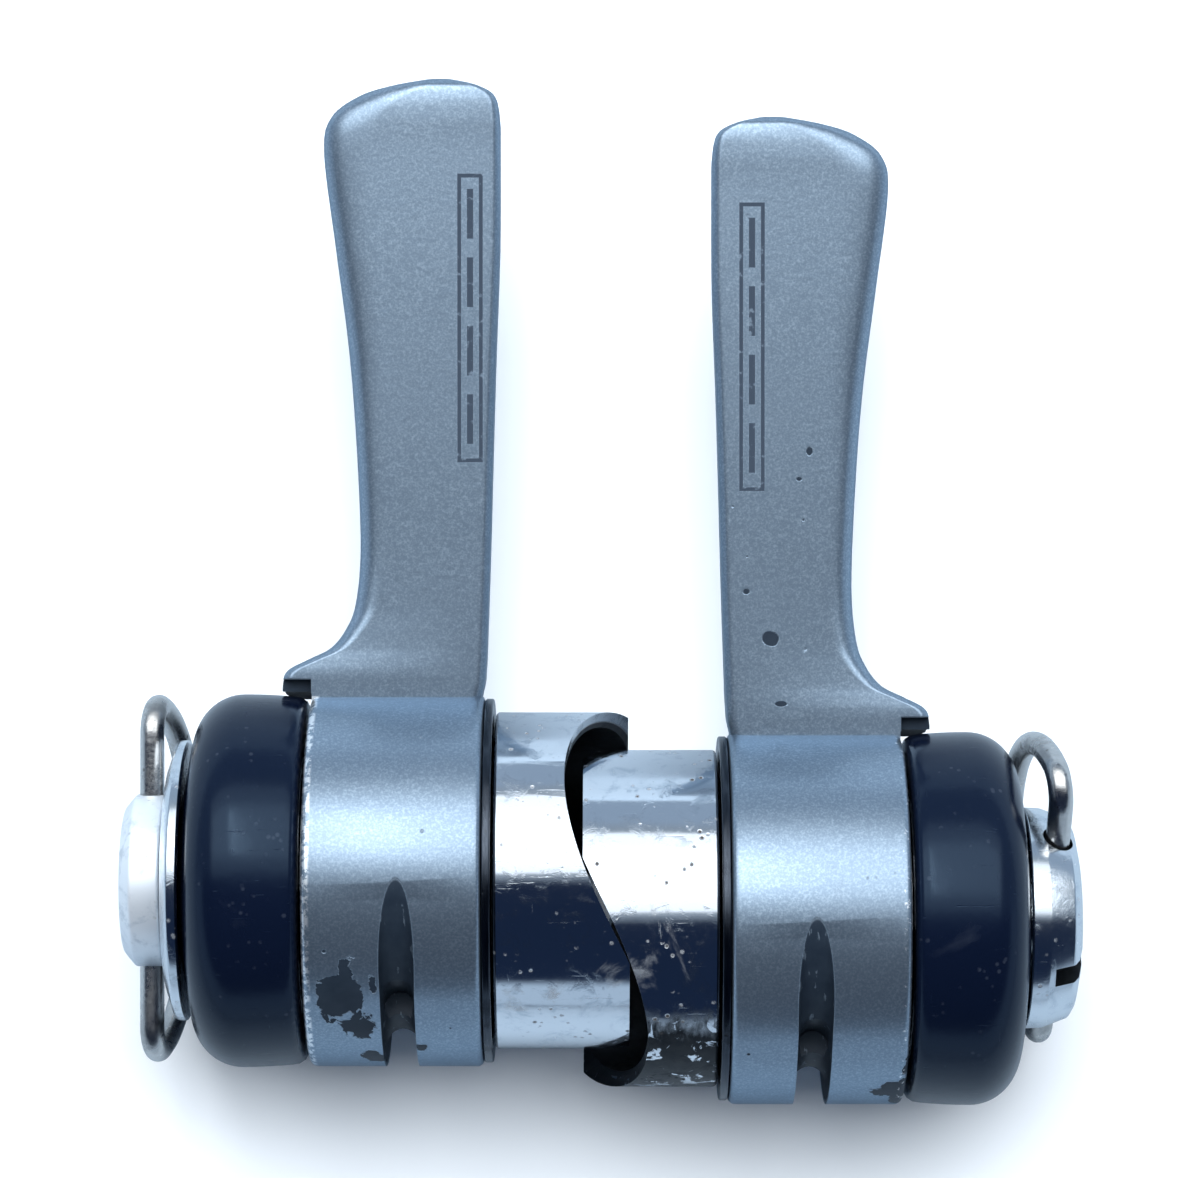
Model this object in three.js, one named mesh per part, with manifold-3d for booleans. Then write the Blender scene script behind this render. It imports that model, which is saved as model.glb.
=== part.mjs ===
// Pair of down-tube shift levers for braze-on bosses, lying flat with the boss sleeves meshed.
// Millimetres, +Z up, +X along the barrels to the right, +Y towards the lever tips.
// Each unit is built along its own outward axis u (u = 0 at the stop plate) and set in place.
import * as THREE from "three";
import { mergeVertices } from "three/addons/utils/BufferGeometryUtils.js";
import Module from "manifold-3d";

const wasm = await Module();
wasm.setup();

// --- driving dimensions -------------------------------------------------------------
const TUBE_R = 14.3;
const AXIS_HEIGHT = 12.35;
const LEFT_BASE_X = -7.0;
const RIGHT_BASE_X = 7.8;
const RIGHT_DROP_Y = 2.5;
const GAP = 0.3;

const SLEEVE_R = 11.1;
const SLEEVE_WALL = 1.0;
const SLEEVE_FLOOR = 0.8;
const SLEEVE_SHORT = 4.7;
const SLEEVE_LONG = 8.9;
const SLEEVE_HOLE_R = 6.6;
const SADDLE_TURN = THREE.MathUtils.degToRad(41);

const PLATE_R = 12.0;
const PLATE_T = 0.6;
const SQUARE = 7.6;
const TAB_R0 = 9.3;
const TAB_R1 = 10.7;
const TAB_END = 2.9;
const TAB_WIDTH = 2.4;
const TAB_ANGLE = THREE.MathUtils.degToRad(-95);
const LEVER_SWING = THREE.MathUtils.degToRad(105);

const HUB_R = 6.3;
const HUB_FLAT = 4.9;
const HUB_START = 0.9;
const HUB_SHOULDER = 8.1;
const HUB_END = 16.0;
const POST_R = 3.6;
const POST_DEPTH = 9.0;
const BOLT_BORE_R = 2.8;

const BUSH_R0 = 6.6;
const BUSH_R1 = 7.4;
const WASHER_R = 8.6;

const BARREL_R = 12.25;
const BARREL_START = 0.9;
const BARREL_END = 12.0;
const LEVER_BORE_R = 7.7;
const LEVER_FACE_RECESS_R = 11.1;
const LEVER_DRUM_R = 9.8;
const LUG_R = 11.0;
const LUG_WIDTH = 3.0;
const GROOVE_MID = 6.6;
const GROOVE_WIDTH = 2.4;
const GROOVE_CORE_R = 12.26;
const GROOVE_SHIFT = 1.96;
const NIPPLE_R = 1.15;
const CAP_CLEARANCE_R = 12.85;

const CAP_R = 12.3;
const CAP_START = 12.3;
const CAP_FACE = 20.6;
const CAP_ROUND = 3.2;
const CAP_RECESS_R = 9.7;
const CAP_RECESS_END = 14.4;
const SEAL_POCKET_R = 4.0;

const BOLT_R = 2.5;
const BOLT_TIP = 6.0;
const WIRE_R = 0.78;
const BAIL_R = 11.6;
const BAIL_CORNER_R = 1.8;
const BAIL_END_R = 3.5;

// Blade stations, root to tip: distance from the axis, inner edge, outer edge, top, underside.
const BLADE = [
  [4.0, 0.95, 11.9, 1.9, -4.2],
  [8.0, 0.95, 14.4, 1.9, -4.2],
  [11.4, 0.9, 14.6, 1.85, -4.0],
  [13.2, 0.62, 14.3, 1.75, -3.8],
  [14.9, 0.5, 12.1, 1.65, -3.6],
  [16.7, 0.42, 10.1, 1.6, -3.4],
  [18.4, 0.36, 9.2, 1.6, -3.3],
  [22.0, 0.24, 8.85, 1.65, -3.1],
  [28.5, 0.06, 9.1, 1.8, -2.7],
  [35.0, -0.14, 9.6, 2.0, -2.4],
  [41.6, -0.38, 10.45, 2.25, -2.1],
  [48.0, -0.42, 11.25, 2.5, -1.9],
  [50.4, -0.38, 10.8, 2.5, -1.8],
  [51.8, -0.05, 9.0, 2.35, -1.6],
  [52.5, 1.1, 6.9, 2.05, -1.3],
  [52.9, 2.6, 4.7, 1.5, -0.7],
];
const BLADE_SLICES = 26;
const CORNER_STEPS = 3;
const CORNER_OUTER_TOP = 2.3;
const CORNER_INNER_TOP = 0.9;
const CORNER_OUTER_BOTTOM = 1.2;
const CORNER_INNER_BOTTOM = 0.9;

const FINE = 36;
const MEDIUM = 24;
const COARSE = 14;

// --- solid helpers ------------------------------------------------------------------
function solid(geometry) {
  const bare = geometry.clone();
  for (const name of Object.keys(bare.attributes)) {
    if (name !== "position") bare.deleteAttribute(name);
  }
  const merged = mergeVertices(bare, 1e-4);
  const place = merged.attributes.position;
  const source = merged.index.array;
  let corners = [];
  let volume = 0;
  const a = new THREE.Vector3();
  const b = new THREE.Vector3();
  const c = new THREE.Vector3();
  for (let i = 0; i < source.length; i += 3) {
    const [p, q, r] = [source[i], source[i + 1], source[i + 2]];
    if (p === q || q === r || p === r) continue;
    a.fromBufferAttribute(place, p);
    b.fromBufferAttribute(place, q);
    c.fromBufferAttribute(place, r);
    volume += a.dot(b.clone().cross(c));
    corners.push(p, q, r);
  }
  if (volume < 0) corners = corners.reverse();
  return new wasm.Manifold(new wasm.Mesh({
    numProp: 3,
    vertProperties: new Float32Array(place.array),
    triVerts: new Uint32Array(corners),
  }));
}

// Closed profile of [radius, u] turned about the u axis.
function turned(profile, segments) {
  const points = profile.map(([r, u]) => new THREE.Vector2(r, u));
  points.push(points[0].clone());
  const geometry = new THREE.LatheGeometry(points, segments);
  geometry.rotateZ(-Math.PI / 2);
  return solid(geometry);
}

function ring(r0, r1, u0, u1, segments) {
  return turned([[r0, u0], [r1, u0], [r1, u1], [r0, u1]], segments);
}

function rod(r, u0, u1, segments) {
  return turned([[0, u0], [r, u0], [r, u1], [0, u1]], segments);
}

function block(u0, u1, y0, y1, z0, z1) {
  const geometry = new THREE.BoxGeometry(u1 - u0, y1 - y0, z1 - z0);
  geometry.translate((u0 + u1) / 2, (y0 + y1) / 2, (z0 + z1) / 2);
  return solid(geometry);
}

// Cylinder from a point along a direction.
function bar(from, direction, length, r, segments) {
  const geometry = new THREE.CylinderGeometry(r, r, length, segments);
  geometry.translate(0, length / 2, 0);
  const turn = new THREE.Quaternion().setFromUnitVectors(
    new THREE.Vector3(0, 1, 0), direction.clone().normalize());
  geometry.applyQuaternion(turn);
  geometry.translate(from.x, from.y, from.z);
  return solid(geometry);
}

function aroundAxis(manifold, angle) {
  return manifold.rotate([THREE.MathUtils.radToDeg(angle), 0, 0]);
}

// Sector between two angles (from +Y towards +Z) as a prism along u.
function sector(angle0, angle1, reach, u0, u1) {
  const shape = new THREE.Shape();
  shape.moveTo(0, 0);
  const steps = 8;
  for (let i = 0; i <= steps; i++) {
    const angle = angle0 + (angle1 - angle0) * i / steps;
    shape.lineTo(reach * Math.cos(angle), reach * Math.sin(angle));
  }
  shape.closePath();
  const geometry = new THREE.ExtrudeGeometry(shape, { depth: u1 - u0, bevelEnabled: false });
  const turn = new THREE.Matrix4().makeBasis(
    new THREE.Vector3(0, 1, 0), new THREE.Vector3(0, 0, 1), new THREE.Vector3(1, 0, 0));
  geometry.applyMatrix4(turn);
  geometry.translate(u0, 0, 0);
  return solid(geometry);
}

// Round bar with two parallel flats, as the hub has and as its keyed parts are cut.
function flatted(r, flat, u0, u1) {
  return rod(r, u0, u1, MEDIUM).intersect(block(u0 - 1, u1 + 1, -r - 1, r + 1, -flat, flat));
}

// --- pieces, in the outward frame ---------------------------------------------------
function bossSleeve(side) {
  const turn = side === "left" ? SADDLE_TURN : -SADDLE_TURN;
  const wall = ring(SLEEVE_R - SLEEVE_WALL, SLEEVE_R, -SLEEVE_LONG, -GAP, FINE);
  const floor = ring(SLEEVE_HOLE_R, SLEEVE_R - 0.5, -GAP - SLEEVE_FLOOR, -GAP, FINE);
  const across = new THREE.Vector3(0, Math.sin(turn), Math.cos(turn));
  const middle = new THREE.Vector3(-SLEEVE_SHORT - TUBE_R, 0, 0).addScaledVector(across, -30);
  return wall.add(floor).subtract(bar(middle, across, 60, TUBE_R, 2 * FINE));
}

function stopPlate() {
  const disc = rod(PLATE_R, 0, PLATE_T, FINE);
  const hole = SQUARE / 2 + 0.15;
  const tab = block(PLATE_T - 0.1, TAB_END, TAB_R0, TAB_R1, -TAB_WIDTH / 2, TAB_WIDTH / 2);
  return disc.subtract(block(-1, 2, -hole, hole, -hole, hole)).add(aroundAxis(tab, TAB_ANGLE));
}

function innerWasher() {
  return ring(BUSH_R0, WASHER_R, PLATE_T + GAP, PLATE_T + GAP + 0.6, MEDIUM);
}

function pivotHub() {
  const body = rod(HUB_R, HUB_START, HUB_SHOULDER, MEDIUM)
    .add(flatted(HUB_R, HUB_FLAT, HUB_SHOULDER - 0.1, HUB_END));
  const half = SQUARE / 2;
  return body
    .subtract(rod(POST_R, 0, POST_DEPTH, MEDIUM))
    .subtract(rod(BOLT_BORE_R, 0, HUB_END + 1, MEDIUM))
    .subtract(block(0, HUB_START + 1.5, -half, half, -half, half));
}

function pivotBush() {
  return ring(BUSH_R0, BUSH_R1, 1.8, HUB_SHOULDER - 0.3, MEDIUM);
}

function bladeSection(inner, outer, top, bottom) {
  const limit = Math.min(outer - inner, top - bottom) * 0.48;
  const corners = [
    [outer, top, -1, -1, CORNER_OUTER_TOP, 0],
    [inner, top, 1, -1, CORNER_INNER_TOP, 1],
    [inner, bottom, 1, 1, CORNER_INNER_BOTTOM, 2],
    [outer, bottom, -1, 1, CORNER_OUTER_BOTTOM, 3],
  ];
  const points = [];
  for (const [u, z, du, dz, wanted, quarter] of corners) {
    const r = Math.min(wanted, limit);
    for (let i = 0; i <= CORNER_STEPS; i++) {
      const angle = (quarter + i / CORNER_STEPS) * Math.PI / 2;
      points.push([u + du * r + r * Math.cos(angle), z + dz * r + r * Math.sin(angle)]);
    }
  }
  return points;
}

function blade() {
  const plan = new THREE.CatmullRomCurve3(
    BLADE.map(([y, inner, outer]) => new THREE.Vector3(y, inner, outer)));
  const rise = new THREE.CatmullRomCurve3(
    BLADE.map(([y, , , top, bottom]) => new THREE.Vector3(y, top, bottom)));
  const around = 4 * (CORNER_STEPS + 1);
  const geometry = new THREE.CylinderGeometry(1, 1, 1, around, BLADE_SLICES);
  const sections = [];
  for (let i = 0; i <= BLADE_SLICES; i++) {
    const t = i / BLADE_SLICES;
    const edges = plan.getPoint(t);
    const heights = rise.getPoint(t);
    sections.push({
      y: edges.x,
      loop: bladeSection(edges.y, edges.z, heights.y, heights.z),
      middle: [(edges.y + edges.z) / 2, (heights.y + heights.z) / 2],
    });
  }
  const place = geometry.attributes.position;
  for (let i = 0; i < place.count; i++) {
    const slice = sections[Math.round((place.getY(i) + 0.5) * BLADE_SLICES)];
    const away = Math.hypot(place.getX(i), place.getZ(i));
    const angle = Math.atan2(place.getZ(i), place.getX(i));
    const step = ((Math.round(angle / (2 * Math.PI) * around) % around) + around) % around;
    const [u, z] = away < 0.5 ? slice.middle : slice.loop[step];
    place.setXYZ(i, u, slice.y, z);
  }
  return solid(geometry);
}

function lever() {
  const barrel = turned([
    [0, BARREL_START], [BARREL_R - 0.4, BARREL_START], [BARREL_R, BARREL_START + 0.4],
    [BARREL_R, BARREL_END - 0.4], [BARREL_R - 0.4, BARREL_END], [0, BARREL_END],
  ], FINE);
  const slotFrom = TAB_ANGLE - LEVER_SWING - 0.2;
  const slotTo = TAB_ANGLE + 0.2;
  const stopSlot = ring(TAB_R0 - 0.4, TAB_R1 + 0.4, 0, TAB_END + 0.4, FINE)
    .intersect(sector(slotFrom, slotTo, 20, -1, 5));
  const groove = ring(GROOVE_CORE_R, 16, GROOVE_MID - GROOVE_WIDTH / 2,
    GROOVE_MID + GROOVE_WIDTH / 2, FINE).translate([0, GROOVE_SHIFT, 0])
    .intersect(block(0, 12, -20, 0.9, -20, 20));
  const nipple = bar(new THREE.Vector3(GROOVE_MID, -4.6, 11.0),
    new THREE.Vector3(0, -0.75, -0.66), 14, NIPPLE_R, COARSE);
  const keyHalf = LUG_WIDTH / 2;
  const keys = block(HUB_SHOULDER, 13, -LUG_R, LUG_R, -keyHalf, keyHalf);
  const swept = barrel.add(blade());
  return swept
    .subtract(rod(LEVER_BORE_R, 0, 13, MEDIUM))
    .subtract(rod(LEVER_FACE_RECESS_R, -1, 1.8, FINE))
    .subtract(rod(LEVER_DRUM_R, HUB_SHOULDER, 13, FINE))
    .subtract(keys)
    .subtract(rod(CAP_CLEARANCE_R, BARREL_END, 20, FINE))
    .subtract(stopSlot)
    .subtract(groove)
    .subtract(nipple);
}

// Disc that turns with the lever: two lugs run in the lever's key slots.
function leverDisc(u0, u1) {
  const lugHalf = LUG_WIDTH / 2 - 0.3;
  const lugs = block(u0, u1, -LUG_R + 0.3, LUG_R - 0.3, -lugHalf, lugHalf);
  return rod(LEVER_DRUM_R - 0.35, u0, u1, MEDIUM).add(lugs)
    .subtract(rod(HUB_R + 0.4, u0 - 1, u1 + 1, MEDIUM));
}

// Plate held still by the hub's flats.
function hubPlate(u0, u1) {
  return rod(LEVER_DRUM_R - 0.35, u0, u1, MEDIUM)
    .subtract(flatted(HUB_R + 0.25, HUB_FLAT + 0.25, u0 - 1, u1 + 1));
}

function indexDisc() {
  const track = ring(7.0, 9.0, 8.9, 11, MEDIUM);
  let disc = leverDisc(8.4, 9.7).subtract(track);
  for (let i = 0; i < 8; i++) {
    const angle = THREE.MathUtils.degToRad(24 + 19 * i);
    const from = new THREE.Vector3(8.6, 8 * Math.cos(angle), 8 * Math.sin(angle));
    disc = disc.subtract(bar(from, new THREE.Vector3(1, 0, 0), 2, 0.7, 10));
  }
  return disc;
}

function ballPlate() {
  let plate = hubPlate(10.0, 11.0);
  for (const turn of [0, Math.PI]) {
    const from = new THREE.Vector3(8, 8 * Math.cos(turn), 8 * Math.sin(turn));
    plate = plate.subtract(bar(from, new THREE.Vector3(1, 0, 0), 5, 1.15, COARSE));
  }
  return plate;
}

function detentBall(turn) {
  const geometry = new THREE.SphereGeometry(0.9, 10, 7);
  geometry.translate(10.15, 8 * Math.cos(turn), 8 * Math.sin(turn));
  return solid(geometry);
}

function springWasher() {
  const [r0, r1, low, high, thick] = [6.7, 9.3, 13.5, 11.7, 0.5];
  return turned([[r0, low], [r1, high], [r1, high + thick], [r0, low + thick]], MEDIUM);
}

function capProfile() {
  const profile = [[0, CAP_START], [CAP_R - 0.35, CAP_START], [CAP_R, CAP_START + 0.35]];
  const steps = 5;
  for (let i = 0; i <= steps; i++) {
    const angle = i / steps * Math.PI / 2;
    profile.push([
      CAP_R - CAP_ROUND + CAP_ROUND * Math.cos(angle),
      CAP_FACE - CAP_ROUND + CAP_ROUND * Math.sin(angle),
    ]);
  }
  profile.push([0, CAP_FACE]);
  return profile;
}

function cap() {
  return turned(capProfile(), FINE)
    .subtract(rod(CAP_RECESS_R, CAP_START - 1, CAP_RECESS_END, MEDIUM))
    .subtract(flatted(HUB_R + 0.25, HUB_FLAT + 0.25, CAP_START, HUB_END + 0.3))
    .subtract(rod(SEAL_POCKET_R, HUB_END, HUB_END + 1.7, MEDIUM))
    .subtract(rod(BOLT_BORE_R, CAP_START, CAP_FACE + 1, MEDIUM));
}

function sealRing() {
  return ring(BOLT_R + 0.3, SEAL_POCKET_R - 0.3, HUB_END + 0.5, HUB_END + 1.4, COARSE);
}

function domedWasher() {
  return turned([
    [BOLT_BORE_R, 20.9], [9.0, 20.9], [9.2, 21.0], [8.9, 21.2], [7.8, 21.4], [6.4, 21.55],
    [BOLT_BORE_R, 21.55],
  ], FINE);
}

function hingeLine(side) {
  const turn = THREE.MathUtils.degToRad(side === "left" ? 90 : 52);
  return new THREE.Vector3(0, Math.sin(turn), Math.cos(turn));
}

function hingeU(side) {
  return side === "left" ? 22.65 : 22.05;
}

function bolt(side) {
  const shank = rod(BOLT_R, BOLT_TIP, 22.5, COARSE);
  const tip = turned([[0, BOLT_TIP], [BOLT_R, BOLT_TIP], [BOLT_R, BOLT_TIP + 1],
    [0, BOLT_TIP + 1]], COARSE);
  let head;
  if (side === "left") {
    head = turned([
      [0, 21.85], [5.45, 21.85], [5.7, 22.1], [5.7, 23.9], [5.45, 24.4], [4.9, 24.75],
      [4.2, 24.85], [0, 24.85],
    ], FINE);
  } else {
    head = turned([
      [0, 20.9], [7.15, 20.9], [7.3, 21.1], [7.15, 21.7], [6.3, 22.9], [6.05, 23.5],
      [5.8, 23.8], [4.4, 24.1], [2.4, 24.25], [0, 24.25],
    ], FINE);
    const slotTurn = THREE.MathUtils.degToRad(151);
    const slot = block(22.6, 26, -9, 9, -0.75, 0.75);
    head = head.subtract(aroundAxis(slot, Math.PI / 2 - slotTurn));
  }
  head = head.add(shank).add(tip);
  const along = hingeLine(side);
  for (const sign of [1, -1]) {
    const from = new THREE.Vector3(hingeU(side), 0, 0).addScaledVector(along, sign * 3.2);
    head = head.subtract(bar(from, along.clone().multiplyScalar(sign), 8, WIRE_R + 0.25, COARSE));
  }
  return head;
}

function bail(side) {
  const along = hingeLine(side);
  const lean = THREE.MathUtils.degToRad(side === "left" ? 8 : 5.5);
  const across = new THREE.Vector3(0, along.z, -along.y).multiplyScalar(Math.cos(lean));
  across.x = -Math.sin(lean);
  const cornerAcross = Math.sqrt((BAIL_R - BAIL_CORNER_R) ** 2 - BAIL_CORNER_R ** 2);
  const join = Math.atan2(BAIL_CORNER_R, cornerAcross);
  const flat = [];
  for (const s of [BAIL_END_R, 5.0, 6.5, 8.2]) flat.push([s, 0]);
  for (let i = 0; i <= 5; i++) {
    const angle = -Math.PI / 2 + (join + Math.PI / 2) * i / 5;
    flat.push([cornerAcross + BAIL_CORNER_R * Math.cos(angle),
      BAIL_CORNER_R + BAIL_CORNER_R * Math.sin(angle)]);
  }
  for (let i = 1; i <= 10; i++) {
    const angle = join + (Math.PI / 2 - join) * i / 10;
    flat.push([BAIL_R * Math.cos(angle), BAIL_R * Math.sin(angle)]);
  }
  const mirrored = flat.slice(0, -1).reverse().map(([s, d]) => [-s, d]);
  const hinge = new THREE.Vector3(hingeU(side), 0, 0);
  const points = flat.concat(mirrored).map(([s, d]) =>
    hinge.clone().addScaledVector(along, s).addScaledVector(across, d));
  const path = new THREE.CatmullRomCurve3(points, false, "centripetal");
  const section = new THREE.Shape();
  section.absarc(0, 0, WIRE_R, 0, 2 * Math.PI);
  return solid(new THREE.ExtrudeGeometry(section, {
    steps: 30, extrudePath: path, curveSegments: 4, bevelEnabled: false,
  }));
}

// --- materials ----------------------------------------------------------------------
const LOOKS = {
  lever_paint: [0x8393a6, 0.6, 0.42],
  cap_resin: [0x141c30, 0.0, 0.18],
  chrome: [0xd6dde6, 1.0, 0.12],
  plate_steel: [0x6d7480, 1.0, 0.35],
  wire_steel: [0x8f8f8c, 1.0, 0.34],
  inner_resin: [0x26282c, 0.0, 0.6],
  spring_steel: [0x9aa0a8, 1.0, 0.3],
  bronze: [0xb08a55, 1.0, 0.4],
  seal_rubber: [0x191919, 0.0, 0.8],
};
const materials = {};
for (const [name, [colour, metalness, roughness]] of Object.entries(LOOKS)) {
  materials[name] = new THREE.MeshStandardMaterial({ name, color: colour, metalness, roughness });
}

// --- assembly -----------------------------------------------------------------------
const group = new THREE.Group();
group.name = "down_tube_shift_levers";

function setIn(name, manifold, look, side) {
  const mesh = manifold.getMesh();
  const stride = mesh.numProp;
  const count = mesh.vertProperties.length / stride;
  const flip = side === "left" ? -1 : 1;
  const baseX = side === "left" ? LEFT_BASE_X : RIGHT_BASE_X;
  const baseY = side === "left" ? 0 : -RIGHT_DROP_Y;
  const place = new Float32Array(count * 3);
  for (let i = 0; i < count; i++) {
    place[3 * i] = baseX + flip * mesh.vertProperties[stride * i];
    place[3 * i + 1] = baseY + mesh.vertProperties[stride * i + 1];
    place[3 * i + 2] = AXIS_HEIGHT + mesh.vertProperties[stride * i + 2];
  }
  const corners = Array.from(mesh.triVerts);
  if (flip < 0) corners.reverse();
  const geometry = new THREE.BufferGeometry();
  geometry.setAttribute("position", new THREE.BufferAttribute(place, 3));
  geometry.setIndex(corners);
  const piece = new THREE.Mesh(geometry, materials[look]);
  piece.name = `${side}_${name}`;
  group.add(piece);
}

for (const side of ["left", "right"]) {
  setIn("boss_sleeve", bossSleeve(side), "chrome", side);
  setIn("stop_plate", stopPlate(), "plate_steel", side);
  setIn("inner_washer", innerWasher(), "inner_resin", side);
  setIn("pivot_hub", pivotHub(), "plate_steel", side);
  setIn("pivot_bush", pivotBush(), "bronze", side);
  setIn("lever", lever(), "lever_paint", side);
  if (side === "left") {
    setIn("friction_disc_inner", leverDisc(8.4, 9.2), "inner_resin", side);
    setIn("pressure_plate", hubPlate(9.5, 10.3), "plate_steel", side);
    setIn("friction_disc_outer", leverDisc(10.6, 11.3), "inner_resin", side);
    setIn("domed_washer", domedWasher(), "chrome", side);
  } else {
    setIn("index_disc", indexDisc(), "plate_steel", side);
    setIn("ball_plate", ballPlate(), "plate_steel", side);
    setIn("detent_ball_front", detentBall(0), "spring_steel", side);
    setIn("detent_ball_back", detentBall(Math.PI), "spring_steel", side);
  }
  setIn("spring_washer", springWasher(), "spring_steel", side);
  setIn("cap", cap(), "cap_resin", side);
  setIn("seal_ring", sealRing(), "seal_rubber", side);
  setIn("bolt", bolt(side), "chrome", side);
  setIn("bail", bail(side), "wire_steel", side);
}

// The row's origin is the middle of the footprint, on the surface it lies on.
const box = new THREE.Box3().setFromObject(group);
const shift = new THREE.Vector3(
  -(box.min.x + box.max.x) / 2, -(box.min.y + box.max.y) / 2, -box.min.z);
for (const piece of group.children) piece.geometry.translate(shift.x, shift.y, shift.z);
for (const piece of group.children) {
  piece.geometry = piece.geometry.toNonIndexed();
  piece.geometry = mergeVertices(piece.geometry, 1e-5);
  piece.geometry.computeVertexNormals();
}

export default group;
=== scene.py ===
import math

import bmesh
import bpy
from mathutils import Matrix, Vector


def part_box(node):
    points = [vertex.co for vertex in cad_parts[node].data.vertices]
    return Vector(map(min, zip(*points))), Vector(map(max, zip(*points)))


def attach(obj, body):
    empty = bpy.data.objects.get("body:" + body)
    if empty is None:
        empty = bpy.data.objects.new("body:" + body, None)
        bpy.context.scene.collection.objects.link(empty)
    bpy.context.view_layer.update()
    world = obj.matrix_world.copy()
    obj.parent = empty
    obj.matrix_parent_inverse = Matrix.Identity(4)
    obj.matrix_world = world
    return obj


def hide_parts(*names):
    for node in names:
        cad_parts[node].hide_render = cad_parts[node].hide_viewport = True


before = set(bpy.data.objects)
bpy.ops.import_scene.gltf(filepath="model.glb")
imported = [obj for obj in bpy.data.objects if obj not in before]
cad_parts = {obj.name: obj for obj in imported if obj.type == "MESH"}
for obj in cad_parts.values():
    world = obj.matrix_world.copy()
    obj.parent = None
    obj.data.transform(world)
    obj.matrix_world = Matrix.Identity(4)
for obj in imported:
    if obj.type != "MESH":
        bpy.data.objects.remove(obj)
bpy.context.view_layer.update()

MM = 0.001
SIDES = ("left", "right")
TURN_STEPS = 144

# Sizes along each unit's outward axis u, and radii, in millimetres.
TUBE_R = 14.3
SLEEVE_R, SLEEVE_WALL, SLEEVE_SHORT, SLEEVE_LONG = 11.1, 1.0, 4.7, 8.9
SLEEVE_BACK, SLEEVE_FLOOR, SLEEVE_HOLE_R = -0.14, 0.8, 6.6
SADDLE_TURN = math.radians(41)
BARREL_R, BARREL_START, BARREL_END = 12.25, 0.6, 12.0
DISC_THICK = 0.55
CAP_R, CAP_START, CAP_SHOULDER, CAP_ROUND = 12.3, 12.3, 19.7, 3.2
CAP_FACE = {"left": 20.85, "right": 20.5}
HINGE_U = {"left": 22.65, "right": 22.05}
HINGE_TURN = {"left": math.radians(90), "right": math.radians(52)}
BAIL_LEAN = {"left": math.radians(8), "right": math.radians(8.5)}
BAIL_R, BAIL_CORNER_R, BAIL_END_R, WIRE_R = 11.6, 1.8, 3.5, 0.8
SLOT_TURN = math.radians(61)
GROOVE_MID, GROOVE_HALF, GROOVE_CORE, GROOVE_SHIFT = 5.95, 1.1, 12.377, 2.6
EDGE_TOP, LEDGE_Z, LEDGE_Y = 1.62, 0.6, 13.3

# Rooms inside the lever: the hub bore, the recess behind and the drum room with its key slots.
HUB_BORE_R, RECESS_R, RECESS_END = 7.7, 11.1, 1.8
DRUM_ROOM_R, DRUM_ROOM_START, KEY_REACH, KEY_HALF = 9.8, 8.1, 11.0, 1.5

# The stop tab on the disc, and the slot it runs in.
DISC_R, DISC_SQUARE_HALF, TAB_END = 12.0, 3.95, 2.9
STOP_AT, STOP_SWING, STOP_CLEAR = math.radians(-95), math.radians(105), 0.2
STOP_SLOT_U, STOP_SLOT_R = (1.0, 3.3), (8.9, 11.1)

# Rooms inside the cap: the discs, the flats that key it to the hub, the post and the bolt.
CAP_ROOM_R, CAP_ROOM_END = 9.7, 14.4
FLATS_R, FLATS_HALF, FLATS_END = 6.55, 5.15, 16.3
POST_ROOM_R, POST_ROOM_END, BOLT_HOLE_R = 4.0, 17.7, 2.8

# Blade stations: distance from the axis, inner edge, outer edge, top, underside.
BLADE = [
    (4.0, 0.95, 11.9, 1.62, -4.2),
    (8.0, 0.95, 13.9, 1.62, -4.2),
    (11.4, 0.9, 13.95, 1.62, -4.0),
    (13.0, 0.62, 13.95, 1.62, -3.8),
    (13.9, 0.55, 13.6, 1.62, -3.7),
    (14.6, 0.5, 12.3, 1.62, -3.6),
    (15.4, 0.47, 10.75, 1.62, -3.5),
    (16.7, 0.42, 9.75, 1.62, -3.4),
    (18.4, 0.36, 9.15, 1.62, -3.3),
    (22.0, 0.24, 8.85, 1.63, -3.1),
    (28.5, 0.06, 9.1, 1.68, -2.7),
    (35.0, -0.14, 9.6, 1.75, -2.4),
    (41.6, -0.38, 10.45, 1.84, -2.1),
    (48.0, -0.42, 11.25, 1.94, -1.9),
    (50.4, -0.38, 10.8, 2.0, -1.8),
    (51.8, -0.05, 9.0, 2.0, -1.6),
    (52.5, 1.1, 6.9, 1.9, -1.3),
    (52.9, 2.6, 4.7, 1.35, -0.7),
]


# --- where each unit stands ----------------------------------------------------------
class Unit:
    """One shifter: local (u, y, z) in millimetres to the shared frame in metres."""

    def __init__(self, side):
        self.side = side
        self.flip = -1.0 if side == "left" else 1.0
        low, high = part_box(side + "_cap")
        self.y = (low[1] + high[1]) / 2
        self.z = (low[2] + high[2]) / 2
        low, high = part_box(side + "_stop_plate")
        self.x = high[0] if side == "left" else low[0]
        self.body = side + "_unit"

    def matrix(self):
        return Matrix.Translation((self.x, self.y, self.z)) @ Matrix.Diagonal(
            (self.flip * MM, MM, MM, 1.0))

    def at(self, u, y, z):
        return self.matrix() @ Vector((u, y, z))


units = {side: Unit(side) for side in SIDES}


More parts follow.
